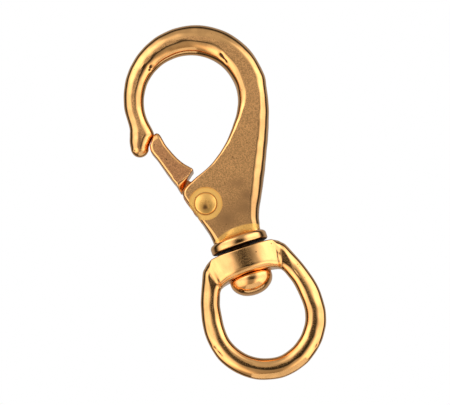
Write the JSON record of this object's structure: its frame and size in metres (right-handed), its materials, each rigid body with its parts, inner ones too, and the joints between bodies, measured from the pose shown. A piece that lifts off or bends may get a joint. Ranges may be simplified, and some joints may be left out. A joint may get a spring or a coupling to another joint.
{
  "type": "swivel eye boat snap",
  "caption": "Cast marine snap hook with a sprung gate on a rivet, turning on a headed swivel pin in a round-legged eye.",
  "frame": {"origin": "the hook's load point: the crown of the bowl's inside, on the swivel axis, at mid thickness", "axes": "+Z along the swivel axis from the eye to the hook, +Y square to the flat faces towards the back, +X from the gate to the hook's closed side"},
  "size_m": [0.04, 0.0154, 0.0972],
  "materials": {
    "cast_bronze": "polished marine bronze with satin flat faces",
    "gate_bronze": "satin copper-brown bronze with bright edges",
    "rivet_brass": "polished brass",
    "spring_steel": "drawn stainless spring wire",
    "eye_bronze": "polished marine bronze",
    "pin_bronze": "polished marine bronze"
  },
  "bodies": {
    "hook": {"hook_body": "cast_bronze", "gate_rivet": "rivet_brass", "gate_spring": "spring_steel", "swivel_pin": "pin_bronze"},
    "gate": {"gate": "gate_bronze"},
    "eye": {"swivel_eye": "eye_bronze"}
  },
  "joints": [
    {"name": "gate_hinge", "type": "hinge", "parent": "hook", "child": "gate", "pos_m": [-0.00505, 0, -0.04015], "axis": [0, 1, 0], "range_deg": [0, 22], "stiffness_Nm_per_rad": 0.06, "springref_deg": -40.11, "deforming": ["gate_spring"]},
    {"name": "eye_swivel", "type": "hinge", "parent": "hook", "child": "eye", "pos_m": [0, 0, -0.0535], "axis": [0, 0, 1], "continuous": true}
  ]
}
